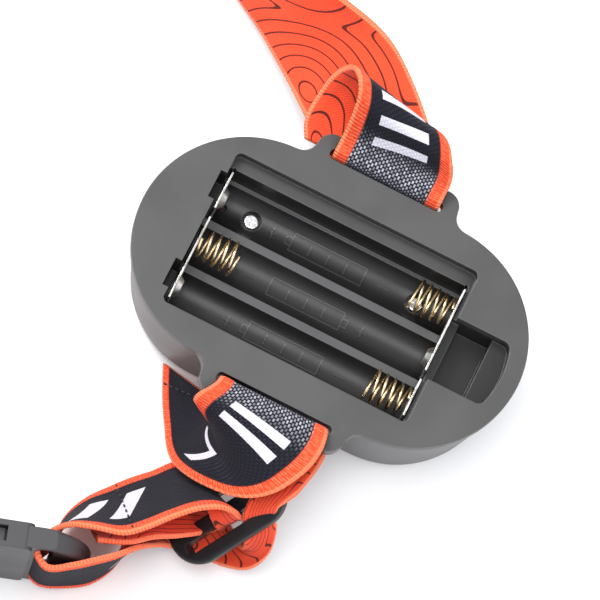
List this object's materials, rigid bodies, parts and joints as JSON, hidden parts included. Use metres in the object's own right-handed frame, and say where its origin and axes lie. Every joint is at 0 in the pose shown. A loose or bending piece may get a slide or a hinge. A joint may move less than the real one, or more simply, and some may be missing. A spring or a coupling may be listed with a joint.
{
  "type": "headlamp",
  "caption": "Twin-lens headlamp with open battery bay, strap bars, head webbing, slider and side-release buckle, lying lens side down.",
  "frame": {"origin": "middle of the flat front face between the two lens rims, on the table", "axes": "+X along the battery cells to the latch end, +Y to the upper strap bar, +Z out of the battery side"},
  "size_m": [0.2206, 0.173, 0.0403],
  "materials": {
    "case_plastic": "fine moulded texture, matte",
    "shell_plastic": "matte, drafted walls",
    "seal_rubber": "soft matte",
    "screw_steel": "bright zinc",
    "contact_steel": "nickel plated sheet",
    "spring_wire": "gold plated wire",
    "webbing": "double-faced elastic webbing, orange and black",
    "slider_plastic": "satin charcoal",
    "buckle_plastic": "satin dark grey",
    "rim_plastic": "polished black",
    "lens_clear": "clear polycarbonate",
    "reflector_chrome": "metallised",
    "led_chip": "phosphor on white base",
    "frame_plastic": "matte black",
    "board_laminate": "green solder mask",
    "switch_body": "matte",
    "button_rubber": "soft orange",
    "wire_red": "insulation",
    "wire_black": "insulation"
  },
  "bodies": {
    "root": {"rear_case": "case_plastic", "front_shell": "shell_plastic", "case_seal": "seal_rubber", "case_screws": "screw_steel", "contact_plus_top": "contact_steel", "contact_bridge_left": "contact_steel", "contact_bridge_right": "contact_steel", "contact_minus_bottom": "contact_steel", "spring_top": "spring_wire", "spring_middle": "spring_wire", "spring_bottom": "spring_wire", "main_band": "webbing", "adjuster_band": "webbing", "band_slider": "slider_plastic", "buckle_socket": "buckle_plastic", "spot_bezel": "rim_plastic", "flood_bezel": "rim_plastic", "spot_lens": "lens_clear", "flood_lens": "lens_clear", "spot_reflector": "reflector_chrome", "flood_reflector": "reflector_chrome", "spot_led": "led_chip", "flood_led": "led_chip", "inner_frame": "frame_plastic", "circuit_board": "board_laminate", "board_screws": "screw_steel", "spot_switch": "switch_body", "flood_switch": "switch_body", "plus_wire": "wire_red", "minus_wire": "wire_black"},
    "spot_button": {"spot_button": "button_rubber"},
    "flood_button": {"flood_button": "button_rubber"},
    "plug": {"buckle_plug": "buckle_plastic"}
  },
  "joints": [
    {"name": "spot_button_press", "type": "slide", "parent": "root", "child": "spot_button", "axis": [0, 0, 1], "range_m": [0, 0.0008], "stiffness_N_per_m": 900},
    {"name": "flood_button_press", "type": "slide", "parent": "root", "child": "flood_button", "axis": [0, 0, 1], "range_m": [0, 0.0008], "stiffness_N_per_m": 900},
    {"name": "buckle_release", "type": "slide", "parent": "root", "child": "plug", "axis": [-0.9483, -0.3173, 0], "range_m": [0, 0.014], "deforming": ["main_band"]}
  ]
}
